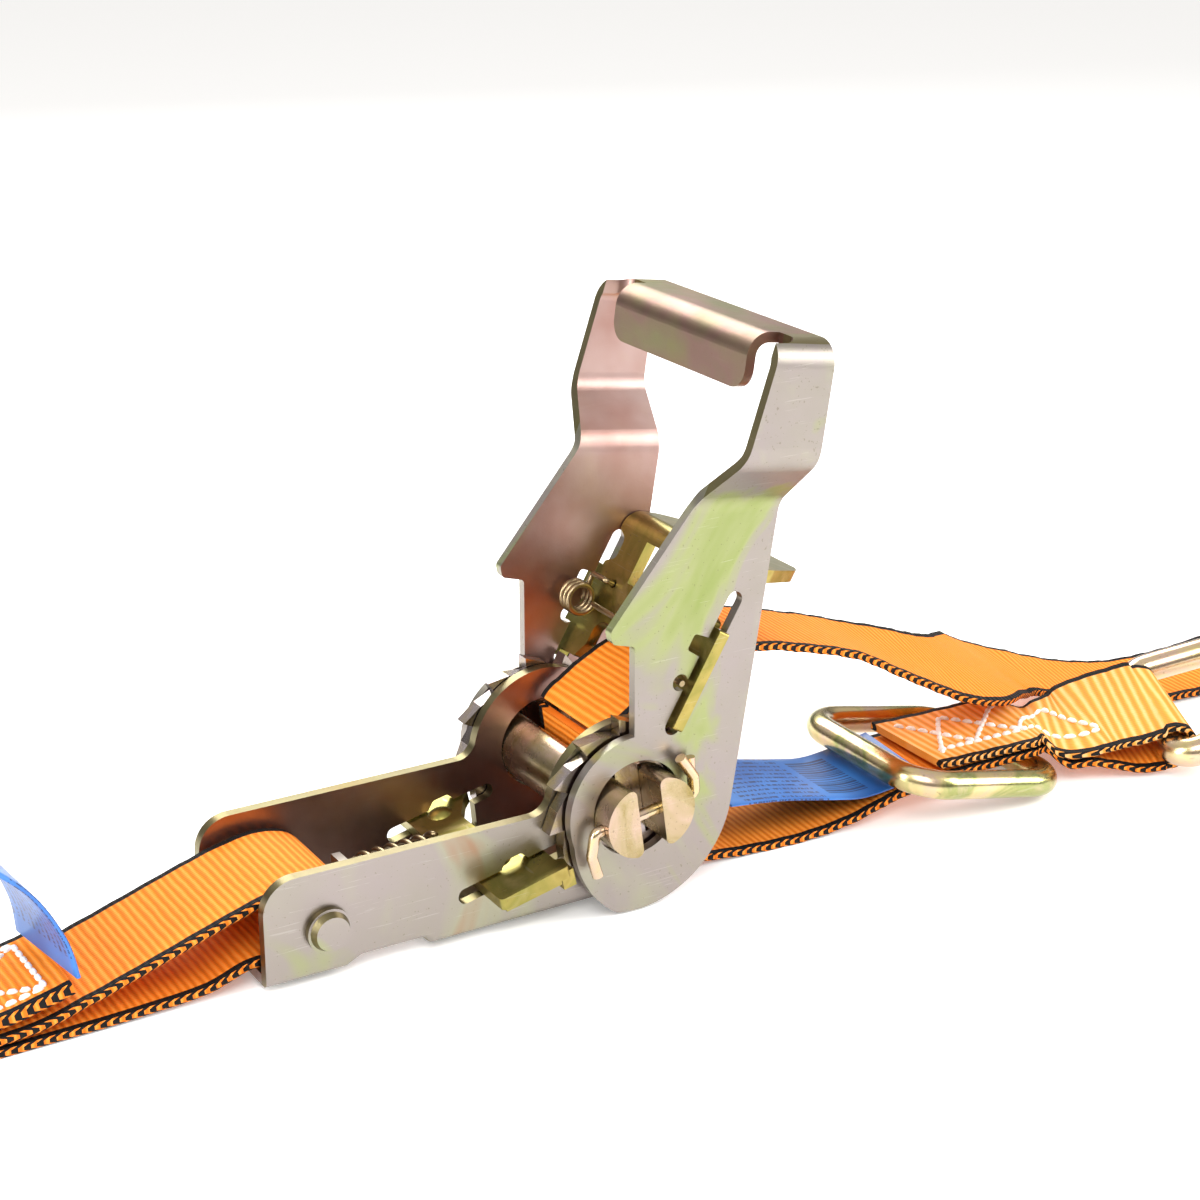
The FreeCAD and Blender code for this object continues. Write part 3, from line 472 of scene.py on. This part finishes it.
def stitches(name, strap, lines, stitch=2.1, gap=0.3, radius=0.55):
    """White thread along lines of (distance along, across) on the strap's upper face."""
    around = 6
    # along one stitch: share of its length, share of the radius, height over the webbing
    bulge = ((0.0, 0.45, 0.04), (0.25, 1.0, 0.22), (0.75, 1.0, 0.22), (1.0, 0.45, 0.04))
    verts, faces = [], []
    for line in lines:
        for (s0, v0), (s1, v1) in zip(line, line[1:]):
            run = math.hypot(s1 - s0, v1 - v0)
            nx, ny = -(v1 - v0) / run, (s1 - s0) / run
            count = max(1, int(run / (stitch + gap)))
            for c in range(count):
                start, end = (c + 0.08) / count, (c + 0.9) / count
                faces += tube_faces(len(verts), len(bulge), around)
                for share, swell, height in bulge:
                    t = start + (end - start) * share
                    s, v = s0 + (s1 - s0) * t, v0 + (v1 - v0) * t
                    r = radius * swell
                    for k in range(around):
                        a = 2 * math.pi * k / around
                        out = r * math.cos(a)
                        rise = height + r * 0.8 * math.sin(a) + 0.001
                        verts.append(strap.at(s + nx * out, v + ny * out, rise))
    obj = new_piece(name, verts, faces, THREAD)
    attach(obj, "frame")
    return obj


def lay(strap, nodes, body="frame"):
    """The strap stands for CAD nodes and moves with body."""
    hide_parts(*nodes)
    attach(strap.obj, body)
    return strap


B = -74.8
SHORT_X, SHORT_Z = B - 100.0, 6.0
LONG_BAR, LONG_YAW, LONG_ROLL = (136.5, -17.6, 9.3), -20.0, 11.0
EYE_R = 3.25 + 1.7

short = lay(Strap("short_webbing", [
    (B - 92.0, 0, 2.2), (B - 70, 0, 1.0), (B - 40, 0, 1.0), (B - 12, 0, 2.0), (B - 2.0, 0, 4.7),
    (B + 5.0, 0, 4.9),
    (B + 13.0, 0, 4.9)] + arc(B + 13.2, 11.2, 6.3, -70, 70, 5) + [
    (B + 10.0, 0, 18.1), (B + 2.0, 0, 16.8), (B - 8.0, 0, 13.8), (B - 20.0, 0, 9.9), (B - 32.0, 0, 6.2),
    (B - 44.0, 0, 3.5), (B - 70.0, 0, 3.1), (B - 90.0, 0, 5.6)], steps=6, wavy=0.05),
    ["short_strap"])
short_eye = lay(Strap("short_eye_webbing", arc(SHORT_X, SHORT_Z, EYE_R, 50, 310, 12), steps=3),
                ["short_eye"])
flap = lay(Strap("short_flap_webbing", [
    (B - 70.0, 0, 5.6), (B - 58.0, 0, 5.7), (B - 46.0, 0, 6.6, -2),
    (B - 34.0, 0, 9.2, -3)], thick=2.4, steps=10, wavy=0.05),
    ["short_flap"])
short_label = lay(Strap("short_label_sheet", [
    (B - 34.5, 0, 11.0, 8), (B - 36.0, 0, 19.0, 6), (B - 41.0, 0, 29.0, 4), (B - 50.0, 0, 38.0, 3)],
    width=24.0, thick=0.8, steps=8, material=LABEL), ["short_label"])

slot = lay(Strap("slot_webbing_strip", [
    (1.28, 0, 12.9), (0.0, 0, 22.0), (-1.28, 0, 31.1)], steps=6),
    ["slot_webbing"], body="spindle")
load = lay(Strap("load_webbing", [
    (1.4, 0.0, 11.8), (2.6, 0.0, 8.5), (7.0, 0.0, 5.4), (14.0, -0.4, 3.7), (22.0, -0.9, 2.0),
    (34.0, -1.5, 1.0), (46.0, -2.2, 1.0), (57.0, -2.8, 2.4), (68.0, -3.2, 5.2), (80.0, -3.8, 7.0),
    (101.0, -4.8, 7.5), (108.0, -5.6, 7.5), (114.0, -8.0, 5.5, 3), (119.0, -10.2, 5.6, 7),
    (124.0, -12.3, 4.9, 9), (129.0, -14.2, 4.2, 10), (135.9, -16.6, 4.5, 11)],
    steps=8, wavy=0.08), ["load_strap"])
# the upper layer carries on round the hook's crossbar
seat = (Matrix.Translation(LONG_BAR) @ Matrix.Rotation(math.radians(LONG_YAW), 4, "Z")
        @ Matrix.Rotation(math.radians(LONG_ROLL), 4, "X"))
TOP_PATH = [(79.0, -4.0, 10.1), (90.0, -4.0, 9.7), (101.0, -4.8, 9.9), (108.0, -5.6, 9.95),
            (113.0, -8.0, 8.5, 3), (118.0, -10.8, 9.0, 5), (124.0, -12.8, 10.9, 9),
            (130.0, -15.6, 12.6, 11)]
loop_path = [tuple(seat @ Vector(p)) + (11,) for p in arc(0, 0, EYE_R, 105, -95, 8)]
# the upper layer is drawn in the paler, lit copy of the webbing: painted light
top = lay(Strap("load_top_webbing", TOP_PATH + loop_path, steps=8, wavy=0.10, material=PAINTED_LIT_ORANGE,
                loop_from=len(TOP_PATH), crossbar=seat.to_3x3() @ Vector((0, 1, 0))),
          ["load_top", "long_eye"])
long_label = lay(Strap("long_label_sheet", [
    (28.0, -2.0, 12.0), (40.0, -2.4, 10.5), (52.0, -2.8, 8.0), (60.0, -3.0, 6.6), (68.0, -3.2, 7.2),
    (76.0, -3.8, 8.9)], width=23.0, thick=0.5, steps=10, material=LABEL),
    ["long_label"])
tail = lay(Strap("loose_end_webbing", [
    (-0.9, 0, 32.5), (0.3, 0, 34.0), (3.3, 0, 36.0), (9.9, 0, 39.8), (18.0, 0, 42.8), (27.0, 0, 44.6),
    (36.0, 0, 44.3), (46.0, 0, 42.0, 1), (55.0, 0, 39.3, 1), (62.0, 0.2, 36.8, 3), (72.0, 0.5, 32.2, 8),
    (82.0, 1.0, 27.8, 13), (92.0, 1.8, 23.3, 16), (102.0, 5.4, 19.6, 16), (112.0, 12.8, 16.0, 13),
    (120.0, 18.2, 12.2, 9), (127.0, 19.4, 9.3, 7), (133.0, 18.4, 7.4, 6), (139.0, 17.2, 5.5, 5),
    (147.0, 15.4, 3.4, 4), (156.0, 14.0, 2.0, 2), (165.0, 13.4, 1.3), (180.0, 13.0, 1.1),
    (200.0, 15.0, 1.0),
    (222.0, 18.0, 1.0), (242.0, 18.0, 1.0)], steps=8, wavy=0.08),
    ["tail_strap"])


def spiral(turns=21.0):
    """The rolled end: the webbing wound on itself, outermost turn on the ground."""
    cx, cy, cz = 244.0, 18.0, 42.1
    out = []
    steps = int(turns * 20)
    for i in range(steps + 1):
        t = i / steps
        a = math.radians(-90 + 360 * turns * t)
        r = 39.0 - (39.0 - 2.5) * t
        out.append((cx + r * math.cos(a), cy, cz + r * math.sin(a)))
    return out


roll = lay(Strap("rolled_webbing", spiral(), thick=1.5, steps=2, across=4),
    ["tail_roll"])

# white thread: zigzags and a long row on the loose end, a box with a cross on the flap
stitches("long_end_stitching", top, [
    [(3.0, -8.5), (14.0, 7.5), (26.0, -6.0), (36.0, 6.5), (46.0, -5.5)],
    [(3.0, 8.5), (14.0, -6.5), (28.0, 8.0)], [(3.0, -6.8), (26.0, -6.4), (46.0, -6.0)]])
FLAP = flap.length[-1]
stitches("flap_stitching", flap, [
    [(4.0, -9.5), (FLAP - 4.0, -9.5), (FLAP - 4.0, 9.5), (4.0, 9.5), (4.0, -9.5)],
    [(4.0, -9.5), (FLAP - 4.0, 9.5)], [(4.0, 9.5), (FLAP - 4.0, -9.5)]])

# -------------------------------------------------------------------------- stage
bpy.ops.mesh.primitive_plane_add(size=9.0, location=(0, 0, -0.0002))
floor = bpy.context.object
floor.name = "floor"
paper = bpy.data.materials.new("floor_paper")
paper.use_nodes = True
paper.node_tree.nodes["Principled BSDF"].inputs["Base Color"].default_value = (0.93, 0.93, 0.93, 1)
paper.node_tree.nodes["Principled BSDF"].inputs["Roughness"].default_value = 0.9
paper.node_tree.nodes["Principled BSDF"].inputs["Emission Color"].default_value = (1, 1, 1, 1)
paper.node_tree.nodes["Principled BSDF"].inputs["Emission Strength"].default_value = 0.22
floor.data.materials.append(paper)


def area_light(name, where, aim, size, power, colour=(1, 1, 1)):
    data = bpy.data.lights.new(name, "AREA")
    data.shape, data.size, data.size_y = "RECTANGLE", size[0], size[1]
    data.energy, data.color = power, colour
    lamp = bpy.data.objects.new(name, data)
    bpy.context.scene.collection.objects.link(lamp)
    lamp.location = place(*where)
    lamp.rotation_euler = (place(*aim) - lamp.location).to_track_quat("-Z", "Y").to_euler()


area_light("key", (-300, -500, 650), (0, 0, 30), (0.45, 0.45), 4.0)
area_light("left_strip", (-650, -80, 260), (0, 0, 40), (0.12, 0.6), 4.0)
area_light("right_fill", (520, -350, 320), (20, 0, 30), (0.3, 0.4), 3.5)
area_light("back", (150, 560, 520), (0, 0, 30), (0.6, 0.35), 5.0)

# The camera sees plain white; the metal reflects a room with dark and light bands.
world = bpy.context.scene.world or bpy.data.worlds.new("world")
bpy.context.scene.world = world
world.use_nodes = True
tree = world.node_tree
room = tree.nodes["Background"]
where = tree.nodes.new("ShaderNodeTexCoord")
split = tree.nodes.new("ShaderNodeSeparateXYZ")
ramp = tree.nodes.new("ShaderNodeValToRGB")
lift = tree.nodes.new("ShaderNodeMapRange")
lift.inputs["From Min"].default_value = -1.0
tree.links.new(where.outputs["Generated"], split.inputs[0])
tree.links.new(split.outputs["Z"], lift.inputs["Value"])
tree.links.new(lift.outputs["Result"], ramp.inputs["Fac"])
stops = [(0.0, 0.8), (0.47, 0.7), (0.53, 0.10), (0.62, 0.22), (0.72, 0.75), (1.0, 1.0)]
marks = ramp.color_ramp.elements
while len(marks) < len(stops):
    marks.new(0.5)
for mark, (at, value) in zip(marks, stops):
    mark.position, mark.color = at, (value, value * 0.98, value * 0.95, 1)
tree.links.new(ramp.outputs["Color"], room.inputs["Color"])
room.inputs["Strength"].default_value = 0.9
white = tree.nodes.new("ShaderNodeBackground")
white.inputs["Strength"].default_value = 1.05
path = tree.nodes.new("ShaderNodeLightPath")
blend = tree.nodes.new("ShaderNodeMixShader")
tree.links.new(path.outputs["Is Camera Ray"], blend.inputs[0])
tree.links.new(room.outputs[0], blend.inputs[1])
tree.links.new(white.outputs[0], blend.inputs[2])
tree.links.new(blend.outputs[0], tree.nodes["World Output"].inputs["Surface"])
bpy.context.scene.view_settings.view_transform = "Standard"

# ------------------------------------------------------------------------- camera
camera_data = bpy.data.cameras.new("camera")
camera_data.sensor_width, camera_data.lens = 36.0, 72.0
camera_data.clip_start = 0.01
camera = bpy.data.objects.new("camera", camera_data)
bpy.context.scene.collection.objects.link(camera)
camera.location = place(-219.37, -373.61, 219.18)
azimuth, elevation, roll_angle = math.radians(-30.97), math.radians(20.51), math.radians(0.11)
ahead = Vector((-math.sin(azimuth) * math.cos(elevation), math.cos(azimuth) * math.cos(elevation),
    -math.sin(elevation)))
turn = ahead.to_track_quat("-Z", "Y").to_matrix() @ Matrix.Rotation(roll_angle, 3, "Z")
camera.rotation_euler = turn.to_euler()
bpy.context.scene.camera = camera
